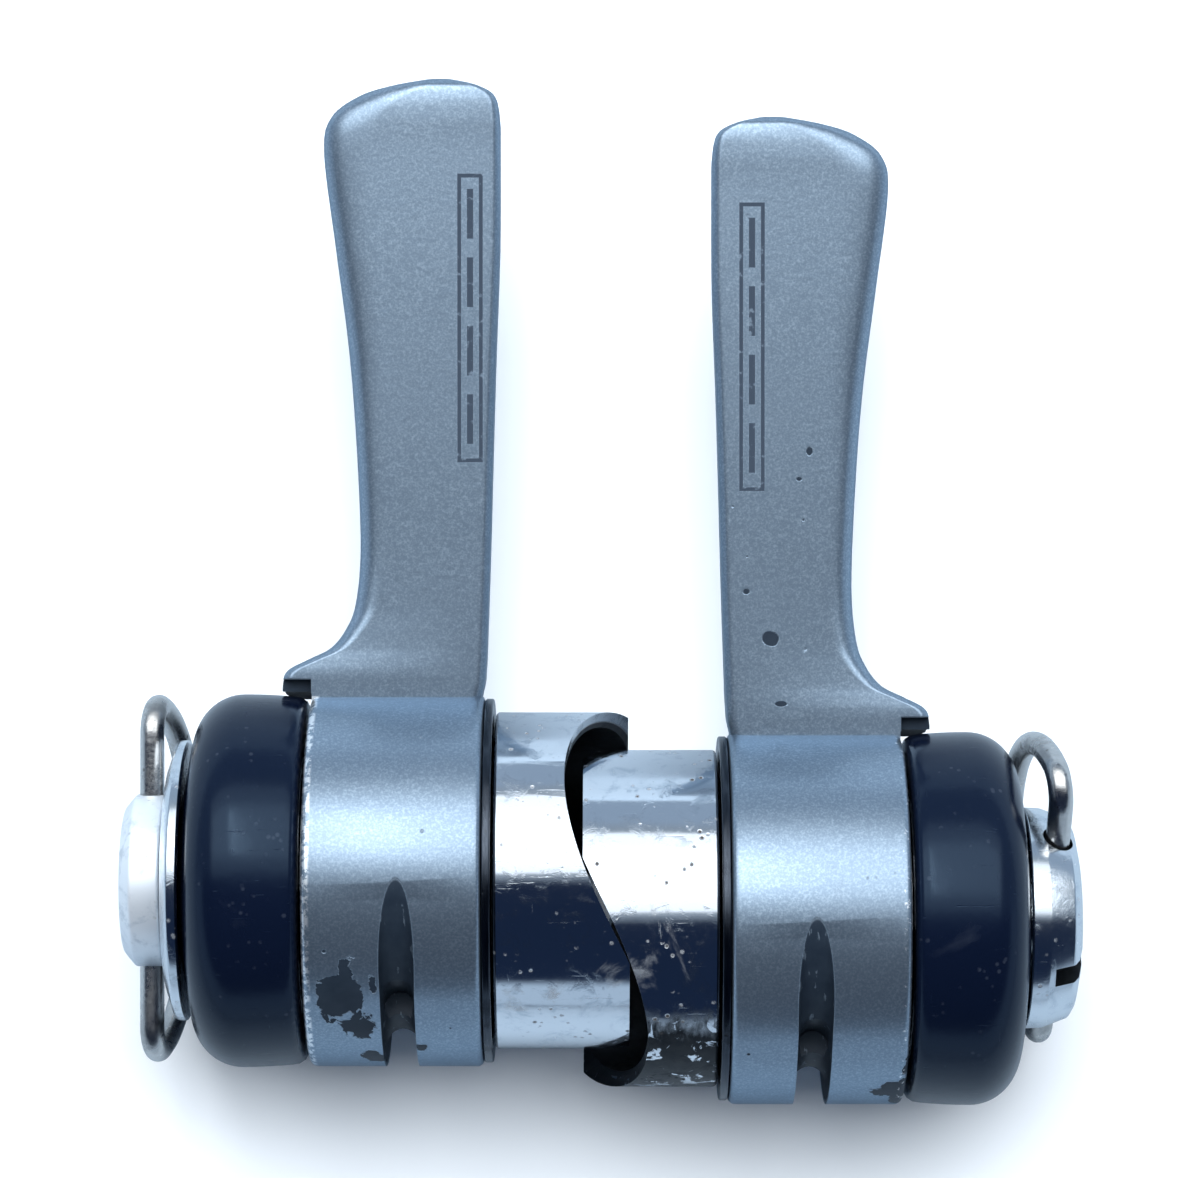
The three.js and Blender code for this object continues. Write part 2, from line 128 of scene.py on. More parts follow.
# --- mesh tools ----------------------------------------------------------------------
def arc_corners(points, radii, steps=5):
    """A closed or open outline of (u, r) points with its corners rounded."""
    out = []
    count = len(points)
    for i, (point, radius) in enumerate(zip(points, radii)):
        here = Vector(point)
        if radius <= 0 or i in (0, count - 1) and points[0][1] == 0:
            out.append(here)
            continue
        back = (Vector(points[i - 1]) - here).normalized()
        on = (Vector(points[(i + 1) % count]) - here).normalized()
        half = back.angle(on) / 2
        reach = radius / math.tan(half)
        centre = here + (back + on).normalized() * (radius / math.sin(half))
        start = here + back * reach - centre
        end = here + on * reach - centre
        for k in range(steps + 1):
            t = k / steps
            sweep = start.angle(end)
            arm = (start * math.sin((1 - t) * sweep) + end * math.sin(t * sweep))
            out.append(centre + arm / math.sin(sweep))
    return [(p.x, p.y) for p in out]


def turned(outline, closed, steps=TURN_STEPS):
    """Spins an outline of (u, r) about the u axis into a closed shell."""
    bm = bmesh.new()
    verts = [bm.verts.new((u, r, 0.0)) for u, r in outline]
    pairs = list(zip(verts, verts[1:]))
    if closed:
        pairs.append((verts[-1], verts[0]))
    for a, b in pairs:
        bm.edges.new((a, b))
    bmesh.ops.spin(
        bm, geom=bm.verts[:] + bm.edges[:], cent=(0, 0, 0), axis=(1, 0, 0),
        angle=2 * math.pi, steps=steps, use_merge=True)
    bmesh.ops.remove_doubles(bm, verts=bm.verts[:], dist=1e-4)
    bmesh.ops.recalc_face_normals(bm, faces=bm.faces[:])
    return bm


def solid_rod(r, u0, u1, steps=TURN_STEPS):
    return turned([(u0, 0.0), (u0, r), (u1, r), (u1, 0.0)], False, steps)


def box(u0, u1, y0, y1, z0, z1):
    bm = bmesh.new()
    bmesh.ops.create_cube(bm, size=1.0)
    bmesh.ops.scale(bm, vec=(u1 - u0, y1 - y0, z1 - z0), verts=bm.verts[:])
    bmesh.ops.translate(
        bm, vec=((u0 + u1) / 2, (y0 + y1) / 2, (z0 + z1) / 2), verts=bm.verts[:])
    return bm


def rod_along(start, direction, length, r, segments=48):
    """A plain cylinder from a point along a direction."""
    bm = bmesh.new()
    bmesh.ops.create_cone(
        bm, cap_ends=True, segments=segments, radius1=r, radius2=r, depth=length)
    bmesh.ops.translate(bm, vec=(0, 0, length / 2), verts=bm.verts[:])
    turn = Vector((0, 0, 1)).rotation_difference(Vector(direction)).to_matrix()
    bmesh.ops.rotate(bm, cent=(0, 0, 0), matrix=turn, verts=bm.verts[:])
    bmesh.ops.translate(bm, vec=start, verts=bm.verts[:])
    return bm


def drawn_out(rings):
    """Extrudes one ring of points through a row of rings and closes both ends."""
    bm = bmesh.new()
    made = bmesh.ops.create_circle(bm, cap_ends=False, segments=len(rings[0]), radius=1.0)
    verts, edges = made["verts"], bm.edges[:]
    first = edges
    for step, ring in enumerate(rings):
        if step > 0:
            made = bmesh.ops.extrude_edge_only(bm, edges=edges)
            new = {item for item in made["geom"] if isinstance(item, bmesh.types.BMVert)}
            edges = [item for item in made["geom"] if isinstance(item, bmesh.types.BMEdge)
                     and all(vert in new for vert in item.verts)]
            verts = [next(edge.other_vert(vert) for edge in vert.link_edges
                          if edge.other_vert(vert) in new) for vert in verts]
        for vert, point in zip(verts, ring):
            vert.co = point
    bmesh.ops.holes_fill(bm, edges=first, sides=0)
    bmesh.ops.holes_fill(bm, edges=edges, sides=0)
    bmesh.ops.recalc_face_normals(bm, faces=bm.faces[:])
    return bm


def as_object(bm, name):
    mesh = bpy.data.meshes.new(name)
    bm.to_mesh(mesh)
    bm.free()
    obj = bpy.data.objects.new(name, mesh)
    bpy.context.scene.collection.objects.link(obj)
    return obj


def drop(obj):
    mesh = obj.data
    bpy.data.objects.remove(obj)
    bpy.data.meshes.remove(mesh)


def joined(base, tools, operation):
    """Unites or cuts a bmesh with others, one at a time, and gives a new bmesh."""
    obj = as_object(base, "work")
    for tool in tools:
        other = as_object(tool, "tool")
        step = obj.modifiers.new("step", "BOOLEAN")
        step.operation = operation
        step.solver = "EXACT"
        step.object = other
        graph = bpy.context.evaluated_depsgraph_get()
        graph.update()
        made = bpy.data.meshes.new_from_object(obj.evaluated_get(graph))
        obj.modifiers.clear()
        old = obj.data
        obj.data = made
        bpy.data.meshes.remove(old)
        drop(other)
    bm = bmesh.new()
    bm.from_mesh(obj.data)
    drop(obj)
    bmesh.ops.remove_doubles(bm, verts=bm.verts[:], dist=2e-4)
    return bm


def finish_piece(bm, unit, name, node, material, body, sharp=32.0, bevel=0.0):
    """Sets a local bmesh in place as a finished, shaded and riding piece."""
    bmesh.ops.transform(bm, matrix=unit.matrix(), verts=bm.verts[:])
    bmesh.ops.recalc_face_normals(bm, faces=bm.faces[:])
    obj = as_object(bm, name)
    obj.data.polygons.foreach_set("use_smooth", [True] * len(obj.data.polygons))
    obj.data.set_sharp_from_angle(angle=math.radians(sharp))
    if bevel > 0:
        edge = obj.modifiers.new("edge", "BEVEL")
        edge.width = bevel * MM
        edge.segments = 2
        edge.limit_method = "ANGLE"
        edge.angle_limit = math.radians(40)
        edge.harden_normals = True
    obj.data.materials.append(material)
    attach(obj, body)
    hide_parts(node)
    return obj


# --- shader tools --------------------------------------------------------------------
class Graph:
    """Short calls for building a node tree."""

    def __init__(self, tree):
        self.tree = tree

    def node(self, kind, **settings):
        made = self.tree.nodes.new(kind)
        for key, value in settings.items():
            if key.startswith("in_"):
                made.inputs[key[3:].replace("_", " ")].default_value = value
            else:
                setattr(made, key, value)
        return made

    def link(self, source, target):
        self.tree.links.new(source, target)

    def fill(self, sockets, values):
        """Sets or links each socket; a colour is a tuple of three."""
        for socket, value in zip(sockets, values):
            if isinstance(value, (int, float)):
                socket.default_value = value
            elif isinstance(value, tuple):
                socket.default_value = (*value, 1.0)
            elif value is not None:
                self.link(value, socket)

    def math(self, operation, a, b=None, clamp=False):
        made = self.node("ShaderNodeMath", operation=operation, use_clamp=clamp)
        self.fill(made.inputs, (a, b))
        return made.outputs[0]

    def plus(self, base, extra, share, clamp=False):
        """base + extra * share"""
        return self.math("ADD", base, self.math("MULTIPLY", extra, share), clamp=clamp)

    def most(self, *masks):
        """The highest of several masks."""
        highest = masks[0]
        for mask in masks[1:]:
            highest = self.math("MAXIMUM", highest, mask)
        return highest

    def length(self, a, b):
        """Root of a squared plus b squared."""
        return self.math("SQRT", self.math(
            "ADD", self.math("POWER", a, 2.0), self.math("POWER", b, 2.0)))

    def split(self, vector):
        made = self.node("ShaderNodeSeparateXYZ")
        self.link(vector, made.inputs[0])
        return made.outputs

    def ramp(self, value, low, high, out_low=0.0, out_high=1.0):
        made = self.node("ShaderNodeMapRange", clamp=True)
        made.interpolation_type = "SMOOTHSTEP"
        self.link(value, made.inputs["Value"])
        for key, number in (("From Min", low), ("From Max", high),
                            ("To Min", out_low), ("To Max", out_high)):
            made.inputs[key].default_value = number
        return made.outputs["Result"]

    def noise(self, vector, scale, detail=3.0, rough=0.55, distortion=0.0):
        made = self.node("ShaderNodeTexNoise")
        self.link(vector, made.inputs["Vector"])
        made.inputs["Scale"].default_value = scale
        made.inputs["Detail"].default_value = detail
        made.inputs["Roughness"].default_value = rough
        made.inputs["Distortion"].default_value = distortion
        return made.outputs["Fac"]

    def cells(self, vector, scale, feature="F1"):
        made = self.node("ShaderNodeTexVoronoi", feature=feature)
        self.link(vector, made.inputs["Vector"])
        made.inputs["Scale"].default_value = scale
        return made.outputs["Distance"]

    def mix(self, factor, a, b):
        made = self.node("ShaderNodeMix", data_type="RGBA")
        self.fill((made.inputs[0], made.inputs[6], made.inputs[7]), (factor, a, b))
        return made.outputs[2]

    def blend(self, factor, a, b):
        made = self.node("ShaderNodeMix", data_type="FLOAT")
        self.fill((made.inputs[0], made.inputs[2], made.inputs[3]), (factor, a, b))
        return made.outputs[0]

    def stretched(self, vector, scale, place=(0, 0, 0)):
        made = self.node("ShaderNodeMapping")
        self.link(vector, made.inputs["Vector"])
        made.inputs["Scale"].default_value = scale
        made.inputs["Location"].default_value = place
        return made.outputs["Vector"]

    def place(self):
        return self.node("ShaderNodeTexCoord").outputs["Object"]

    def bump(self, height, distance, strength=1.0):
        made = self.node("ShaderNodeBump")
        self.link(height, made.inputs["Height"])
        made.inputs["Distance"].default_value = distance
        made.inputs["Strength"].default_value = strength
        return made.outputs["Normal"]


def start_material(name, **plain):
    material = bpy.data.materials.new(name)
    material.use_nodes = True
    graph = Graph(material.node_tree)
    shader = material.node_tree.nodes["Principled BSDF"]
    for key, value in plain.items():
        shader.inputs[key.replace("_", " ")].default_value = value
    return material, graph, shader


def start_group(name, inputs, outputs):
    tree = bpy.data.node_groups.new(name, "ShaderNodeTree")
    for label, kind, value in inputs:
        socket = tree.interface.new_socket(label, in_out="INPUT", socket_type=kind)
        if value is not None:
            socket.default_value = value
    for label, kind in outputs:
        tree.interface.new_socket(label, in_out="OUTPUT", socket_type=kind)
    graph = Graph(tree)
    return tree, graph, graph.node("NodeGroupInput"), graph.node("NodeGroupOutput")


def use_group(graph, tree, **values):
    made = graph.node("ShaderNodeGroup", node_tree=tree)
    for key, value in values.items():
        socket = made.inputs[key]
        if hasattr(value, "links") or hasattr(value, "is_linked"):
            graph.link(value, socket)
        else:
            socket.default_value = value
    return made


FLOAT, VECTOR = "NodeSocketFloat", "NodeSocketVector"


def make_blot_group():
    """A ragged spot round a centre: 1 inside, 0 outside."""
    tree, graph, inside, out = start_group(
        "ragged_spot",
        [("Place", VECTOR, None), ("Centre", VECTOR, (0, 0, 0)), ("Radius", FLOAT, 0.001),
         ("Rag", FLOAT, 0.0008), ("Stretch", VECTOR, (1, 1, 1))],
        [("Mask", FLOAT)])
    away = graph.node("ShaderNodeVectorMath", operation="SUBTRACT")
    graph.link(inside.outputs["Place"], away.inputs[0])
    graph.link(inside.outputs["Centre"], away.inputs[1])
    scaled = graph.node("ShaderNodeVectorMath", operation="MULTIPLY")
    graph.link(away.outputs[0], scaled.inputs[0])
    graph.link(inside.outputs["Stretch"], scaled.inputs[1])
    length = graph.node("ShaderNodeVectorMath", operation="LENGTH")
    graph.link(scaled.outputs[0], length.inputs[0])
    rough = graph.noise(inside.outputs["Place"], 700.0, 4.0, 0.6, 0.4)
    push = graph.math("MULTIPLY", graph.math("SUBTRACT", rough, 0.5), inside.outputs["Rag"])
    push = graph.math("MULTIPLY", push, 4.0)
    edge = graph.math("ADD", length.outputs["Value"], push)
    gap = graph.math("SUBTRACT", inside.outputs["Radius"], edge)
    graph.link(graph.ramp(gap, -0.00003, 0.00006), out.inputs["Mask"])
    return tree


def make_grime_group():
    """Masks of slow stains, fine pits and thin scratches, and an even fine grain."""
    tree, graph, inside, out = start_group(
        "handling_wear",
        [("Place", VECTOR, None), ("Stain", FLOAT, 0.5), ("Pits", FLOAT, 0.5)],
        [("Stains", FLOAT), ("Pitting", FLOAT), ("Scratches", FLOAT), ("Fine", FLOAT)])
    place = inside.outputs["Place"]
    slow = graph.noise(place, 160.0, 6.0, 0.62, 0.6)
    level = graph.math("MULTIPLY", inside.outputs["Stain"], 0.3)
    stains = graph.ramp(graph.math("ADD", slow, level), 0.68, 0.86)
    dots = graph.cells(place, 1500.0)
    patch = graph.noise(place, 420.0, 4.0, 0.6)
    pit = graph.math("MULTIPLY", graph.ramp(dots, 0.28, 0.12),
                     graph.ramp(patch, 0.52, 0.62))
    pit = graph.math("MULTIPLY", pit, inside.outputs["Pits"])
    lines = graph.noise(graph.stretched(place, (260.0, 4200.0, 2600.0)), 1.0, 3.0, 0.6)
    more = graph.noise(graph.stretched(place, (3800.0, 300.0, 500.0)), 1.0, 3.0, 0.6)
    scratches = graph.math("MAXIMUM", graph.ramp(lines, 0.66, 0.74),
                           graph.ramp(more, 0.68, 0.76))
    graph.link(stains, out.inputs["Stains"])
    graph.link(pit, out.inputs["Pitting"])
    graph.link(scratches, out.inputs["Scratches"])
    graph.link(graph.noise(place, 2600.0, 3.0), out.inputs["Fine"])
    return tree


blot = make_blot_group()
wear = make_grime_group()


def from_unit(graph, place, unit):
    """Metres outward from the stop disc, along Y and above the axis, and off the axis."""
    x, y, z = graph.split(place)
    outward = graph.math("MULTIPLY", graph.math("SUBTRACT", x, unit.x), unit.flip)
    along_y = graph.math("SUBTRACT", y, unit.y)
    above = graph.math("SUBTRACT", z, unit.z)
    return outward, along_y, above, graph.length(along_y, above)


def bar_mask(graph, parts, x0, x1, y0, y1, soft=0.00004):
    """1 inside a rectangle of the frame's X and Y, 0 outside."""
    inside_x = graph.math("MULTIPLY", graph.ramp(parts[0], x0 - soft, x0 + soft),
                          graph.ramp(parts[0], x1 + soft, x1 - soft))
    inside_y = graph.math("MULTIPLY", graph.ramp(parts[1], y0 - soft, y0 + soft),
                          graph.ramp(parts[1], y1 + soft, y1 - soft))
    return graph.math("MULTIPLY", inside_x, inside_y)


def stripe_mask(graph, place, unit, stripe):
    """The printed mark: a thin frame round four dashes, a little worn."""
    parts = graph.split(place)
    x0, x1, y0, y1 = stripe
    line, dash_half, dash, pitch, margin = 0.00028, 0.00022, 0.0033, 0.0045, 0.0012
    marks = [bar_mask(graph, parts, x0, x0 + line, y0, y1),
             bar_mask(graph, parts, x1 - line, x1, y0, y1),
             bar_mask(graph, parts, x0, x1, y1 - line, y1),
             bar_mask(graph, parts, x0, x1, y0, y0 + line)]
    mid = (x0 + x1) / 2
    for step in range(4):
        low = y0 + margin + step * pitch
        marks.append(bar_mask(graph, parts, mid - dash_half, mid + dash_half, low, low + dash))
    worn = graph.ramp(graph.noise(place, 1500.0, 3.0), 0.30, 0.42, 0.6, 1.0)
    on_top = graph.ramp(parts[2], unit.z, unit.z + 0.0004)
    return graph.math("MULTIPLY", graph.math("MULTIPLY", graph.most(*marks), worn), on_top)


def groove_and_ledge_shade_mask(graph, place, spot):
    """1 in the cable groove, broken by bare streaks, and on the ledge under the ear, which is
    painted shade.
    """
    outward, along_y, above, from_axis = spot
    from_mid = graph.math("ABSOLUTE", graph.math("SUBTRACT", outward, GROOVE_MID * MM))
    from_ring = graph.length(graph.math("SUBTRACT", along_y, GROOVE_SHIFT * MM), above)
    off_ring = graph.math("SUBTRACT", from_ring, (GROOVE_CORE + GROOVE_HALF) * MM)
    wall = graph.ramp(graph.length(off_ring, from_mid), 0.00118, 0.00112)
    sunk = graph.math("MULTIPLY", graph.ramp(from_axis, 0.01212, 0.01188),
                      graph.ramp(from_mid, 0.00125, 0.00115))
    groove = graph.math("MULTIPLY", graph.most(wall, sunk),
                        graph.ramp(along_y, 0.0018, 0.0014))
    streaks = graph.noise(graph.stretched(place, (2600.0, 900.0, 900.0)), 1.0, 4.0)
    groove = graph.math("MULTIPLY", groove, graph.ramp(streaks, 0.62, 0.70, 1.0, 0.72))
    # Painted shade: the ledge under the ear is darkened as the shadow of its step.
    ledge = graph.math("MULTIPLY",
                       graph.ramp(outward, BARREL_END * MM, (BARREL_END + 0.05) * MM),
                       graph.ramp(along_y, (LEDGE_Y + 0.1) * MM, LEDGE_Y * MM))
    return graph.most(groove, ledge)


def rim_wear(graph, place, spot, amount):
    """1 where the paint has gone from the barrel's rim next to the cap."""
    outward, _, _, from_axis = spot
    rim = graph.math("MULTIPLY",
                     graph.ramp(outward, (BARREL_END - 0.6) * MM, (BARREL_END - 0.4) * MM),
                     graph.ramp(from_axis, 0.01235, 0.0123))
    ragged = graph.noise(place, 1900.0, 4.0, 0.7)
    return graph.math("MULTIPLY", rim, graph.ramp(ragged, amount, amount + 0.06))


def lever_paint(side, chips, stripe, unit, edge_wear):
    """Satin blue-grey metallic paint with chips to a dark undercoat, a thin stripe mark, and
    painted shade on the ledge under the ear.
    """
    material, graph, shader = start_material(
        side + "_lever_paint", Coat_Weight=0.06, Coat_Roughness=0.2,
        Specular_Tint=(0.50, 0.56, 0.62, 1.0))
    place = graph.place()
    spot = from_unit(graph, place, unit)
    grime = use_group(graph, wear, Place=place, Stain=0.3, Pits=0.5).outputs
    flake = graph.ramp(graph.cells(place, 7000.0), 0.1, 0.75)
    flake_b = graph.ramp(graph.noise(place, 5200.0, 2.0, 0.6), 0.3, 0.75)
    colour = graph.mix(graph.math("MULTIPLY", flake, flake_b), (0.245, 0.32, 0.405),
                       (0.385, 0.48, 0.575))
    slow = graph.noise(place, 90.0, 3.0)
    colour = graph.mix(graph.ramp(slow, 0.35, 0.7, 0.0, 0.22), colour, (0.28, 0.355, 0.445))
    colour = graph.mix(graph.math("MULTIPLY", grime["Stains"], 0.12), colour,
                       (0.16, 0.18, 0.21))

    chipped = [use_group(graph, blot, Place=place, Centre=centre, Radius=radius, Rag=rag,
                         Stretch=stretch).outputs["Mask"]
               for centre, radius, rag, stretch in chips]
    specks = graph.math("MULTIPLY", grime["Pitting"],
                        graph.ramp(graph.noise(place, 130.0, 2.0), 0.60, 0.66))
    primer_and_ledge_shade = graph.most(*chipped, specks, groove_and_ledge_shade_mask(graph, place, spot))
    # Dark undercoat tone for chips and the groove; on the ledge under the ear it is painted
    # shade.
    primer_and_shade_tone = graph.mix(graph.noise(place, 900.0, 4.0), (0.006, 0.011, 0.021),
                       (0.022, 0.032, 0.046))
    colour = graph.mix(primer_and_ledge_shade, colour, primer_and_shade_tone)
    colour = graph.mix(rim_wear(graph, place, spot, edge_wear), colour, (0.86, 0.90, 0.94))
    mark = stripe_mask(graph, place, unit, stripe)
    colour = graph.mix(mark, colour, (0.030, 0.042, 0.062))
    graph.link(colour, shader.inputs["Base Color"])

    dull = graph.most(primer_and_ledge_shade, mark)
    rough = graph.plus(graph.blend(grime["Fine"], 0.27, 0.36), grime["Stains"], 0.06)
    graph.link(graph.blend(dull, rough, 0.55), shader.inputs["Roughness"])
    graph.link(graph.blend(dull, 0.88, 0.08), shader.inputs["Metallic"])
    peel = graph.math("MULTIPLY", graph.noise(place, 1900.0, 2.0), 0.16)
    height = graph.math("SUBTRACT", peel, primer_and_ledge_shade)
    graph.link(graph.bump(height, 0.00006, 0.7), shader.inputs["Normal"])
    return material


def dark_bore_and_patch(graph, place, spot, dark_patch):
    """1 inside the sleeve's bore, and in a ragged darker patch towards -Y on its front if one is
    given.
    """
    _, along_y, _, from_axis = spot
    dark = graph.ramp(from_axis, 0.01058, 0.01040)
    if dark_patch:
        ragged = graph.noise(graph.stretched(place, (1.0, 0.45, 0.45)), 900.0, 6.0, 0.7)
        edge = graph.plus(along_y, ragged, 0.0050)
        low = graph.ramp(edge, dark_patch[1] * MM, dark_patch[0] * MM)
        flakes = graph.ramp(graph.noise(place, 780.0, 5.0, 0.65, 0.8), 0.565, 0.61)
        low = graph.math("MULTIPLY", low, graph.math("SUBTRACT", 1.0, flakes))
        dark = graph.most(dark, low)
    return dark


def slot_shade(graph, spot):
    """1 inside the driver slot of the bolt head."""
    outward, along_y, above, _ = spot
    across = graph.math("ADD", graph.math("MULTIPLY", along_y, math.sin(SLOT_TURN)),
                        graph.math("MULTIPLY", above, math.cos(SLOT_TURN)))
    return graph.math("MULTIPLY", graph.ramp(outward, 0.02168, 0.02174),
                      graph.ramp(graph.math("ABSOLUTE", across), 0.00069, 0.00066))


def chrome(name, stain, pits, tint=(0.86, 0.90, 0.95), unit=None, dark_patch=None, slot=False,
           base_rough=0.07, metallic=1.0):
    """Bright plating with stains, pits and hairlines; a darker bore, a ragged darker front patch
    and painted shade in the bolt head's driver slot add dull dark areas.
    """
    material, graph, shader = start_material(name)
    place = graph.place()
    grime = use_group(graph, wear, Place=place, Stain=stain, Pits=pits).outputs
    stains, pitting, scratches = grime["Stains"], grime["Pitting"], grime["Scratches"]
    bloom = graph.ramp(graph.noise(place, 620.0, 6.0, 0.7, 0.5), 0.50, 0.68)
    dark = None
    if unit:
        spot = from_unit(graph, place, unit)
        dark = slot_shade(graph, spot) if slot else dark_bore_and_patch(graph, place, spot, dark_patch)

    colour = graph.mix(graph.noise(place, 240.0, 3.0), tint,
                       tuple(0.93 * value for value in tint))
    rust = graph.mix(graph.noise(place, 900.0, 4.0), (0.10, 0.095, 0.09), (0.42, 0.42, 0.43))
    colour = graph.mix(graph.math("MULTIPLY", stains, 0.72), colour, rust)
    colour = graph.mix(pitting, colour, (0.05, 0.045, 0.045))
    colour = graph.mix(graph.math("MULTIPLY", bloom, 0.6), colour, (0.50, 0.57, 0.64))
    if dark:
        # Darkens the masked areas with one dark tone; in the bolt head's driver slot this is
        # painted shade.
        dark_tone = graph.mix(graph.noise(place, 1400.0, 4.0), (0.014, 0.018, 0.024),
                         (0.055, 0.056, 0.058))
        colour = graph.mix(dark, colour, dark_tone)
    graph.link(colour, shader.inputs["Base Color"])

    rough = graph.blend(grime["Fine"], base_rough, base_rough + 0.06)
    rough = graph.plus(rough, bloom, 0.12)
    if dark:
        rough = graph.plus(rough, dark, 0.3)
    rough = graph.plus(rough, stains, 0.34)
    rough = graph.plus(rough, scratches, 0.16)
    rough = graph.plus(rough, pitting, 0.4, clamp=True)
    graph.link(rough, shader.inputs["Roughness"])
    dull = graph.most(pitting, graph.math("MULTIPLY", stains, 0.5))
    graph.link(graph.blend(dull, metallic, 0.25), shader.inputs["Metallic"])

    height = graph.plus(graph.math("MULTIPLY", pitting, -1.0), stains, 0.25)
    height = graph.plus(height, scratches, -0.15)
    height = graph.plus(height, graph.noise(place, 260.0, 2.0), 0.5)
    height = graph.plus(height, bloom, 0.22)
    graph.link(graph.bump(height, 0.00004, 0.6), shader.inputs["Normal"])
    return material


def cap_resin():
    """Gloss navy-black moulding with faint hairlines, dust and a soft orange peel."""
    material, graph, shader = start_material(
        "cap_resin", IOR=1.42, Specular_Tint=(0.50, 0.74, 1.0, 1.0))
    place = graph.place()
    grime = use_group(graph, wear, Place=place, Stain=0.2, Pits=0.35).outputs
    colour = graph.mix(graph.noise(place, 120.0, 4.0), (0.0016, 0.0036, 0.0115),
                       (0.0032, 0.0060, 0.0170))
    dust = graph.math("MULTIPLY", grime["Pitting"], 0.35)
    haze = graph.math("MULTIPLY", grime["Stains"], 0.07)
    colour = graph.mix(graph.most(dust, haze), colour, (0.12, 0.14, 0.18))
    graph.link(colour, shader.inputs["Base Color"])
    rough = graph.blend(grime["Fine"], 0.16, 0.24)
    rough = graph.plus(rough, grime["Scratches"], 0.12)
    rough = graph.plus(rough, grime["Stains"], 0.10)
    graph.link(rough, shader.inputs["Roughness"])
    height = graph.plus(graph.noise(place, 1300.0, 2.0), grime["Scratches"], -0.8)
    graph.link(graph.bump(height, 0.00002, 0.35), shader.inputs["Normal"])
    return material


def worked_metal(name, light, dark, rough_low, rough_high, metallic=1.0, brushed=True):
    """Plain turned, drawn or sintered metal: brush lines or grain, with tarnish."""
    material, graph, shader = start_material(name, Metallic=metallic)
    place = graph.place()
    grime = use_group(graph, wear, Place=place, Stain=0.5, Pits=0.8).outputs
    if brushed:
        grain = graph.noise(graph.stretched(place, (9000.0, 700.0, 700.0)), 1.0, 3.0)
    else:
        grain = graph.noise(place, 3200.0, 4.0)
    colour = graph.mix(grain, dark, light)
    colour = graph.mix(graph.math("MULTIPLY", grime["Stains"], 0.6), colour,
                       tuple(0.35 * value for value in dark))
    colour = graph.mix(grime["Pitting"], colour, (0.03, 0.027, 0.025))
    graph.link(colour, shader.inputs["Base Color"])
    rough = graph.plus(graph.blend(grain, rough_low, rough_high), grime["Stains"], 0.15)
    graph.link(rough, shader.inputs["Roughness"])
    height = graph.math("SUBTRACT", grain, grime["Pitting"])
    graph.link(graph.bump(height, 0.00003, 0.5), shader.inputs["Normal"])
    return material


def soft_material(name, light, dark, rough):
    """Resin or rubber with fine grain and dusty patches."""
    material, graph, shader = start_material(name)
    place = graph.place()
    grain = graph.noise(place, 2400.0, 4.0)
    patches = graph.noise(place, 180.0, 4.0)
    colour = graph.mix(graph.ramp(patches, 0.35, 0.7), dark, light)
    graph.link(colour, shader.inputs["Base Color"])
    graph.link(graph.blend(grain, rough - 0.08, rough + 0.08), shader.inputs["Roughness"])
    graph.link(graph.bump(grain, 0.00004, 0.5), shader.inputs["Normal"])
    return material


# --- pieces --------------------------------------------------------------------------
def smooth_path(stations, per_step):
    """Catmull-Rom points through the stations, which may have any number of values."""
    out = []
    last = len(stations) - 1
    for i in range(last):
        before = stations[max(i - 1, 0)]
        here = stations[i]
        after = stations[i + 1]
        beyond = stations[min(i + 2, last)]
        for k in range(per_step):
            t = k / per_step
            out.append(tuple(
                0.5 * ((2 * b) + (c - a) * t + (2 * a - 5 * b + 4 * c - d) * t * t
                       + (3 * b - a - 3 * c + d) * t ** 3)
                for a, b, c, d in zip(before, here, after, beyond)))
    out.append(stations[-1])
    return out


def outer_slope(y):
    """Width of the sloping outer shoulder of the blade at this distance."""
    table = [(13.5, 0.7), (18.0, 1.6), (28.0, 1.9), (41.0, 2.7), (47.0, 3.5), (60.0, 3.5)]
    for (y0, w0), (y1, w1) in zip(table, table[1:]):
        if y <= y1:
            t = max(0.0, (y - y0) / (y1 - y0))
            return w0 + (w1 - w0) * t
    return table[-1][1]


def blade_ring(y, inner, outer, top, bottom):
    """Points of one cross-section: a box whose four corners are quarter ellipses."""
    wide, tall = (outer - inner) * 0.48, (top - bottom) * 0.48
    slope = outer_slope(y)
    corners = ((outer, top, -1, -1, slope, min(1.5, slope)), (inner, top, 1, -1, 0.7, 0.8),
               (inner, bottom, 1, 1, 0.9, 0.9), (outer, bottom, -1, 1, 1.4, 1.4))
    steps = 9
    points = []
    for quarter, (u, z, du, dz, along, drop_by) in enumerate(corners):
        ru, rz = min(along, wide), min(drop_by, tall)
        for k in range(steps + 1):
            angle = (quarter + k / steps) * math.pi / 2
            points.append((u + du * ru + ru * math.cos(angle), y,
                           z + dz * rz + rz * math.sin(angle)))
    return points


def blade():
    """The finger blade, drawn out ring by ring from root to tip."""
    return drawn_out([blade_ring(*section) for section in smooth_path(BLADE, 7)])


def groove_cutter():
    """Round-bottomed cable groove that runs in from the top and deepens to the back."""
    r, rim = GROOVE_HALF, GROOVE_CORE + 5.0
    outline = []
    for k in range(13):
        angle = math.pi + math.pi * k / 12
        outline.append((GROOVE_MID + r * math.cos(angle), GROOVE_CORE + r + r * math.sin(angle)))
    outline += [(GROOVE_MID + r, rim), (GROOVE_MID - r, rim)]
    bm = turned(outline, True, 120)
    bmesh.ops.translate(bm, vec=(0, GROOVE_SHIFT, 0), verts=bm.verts[:])
    return bm


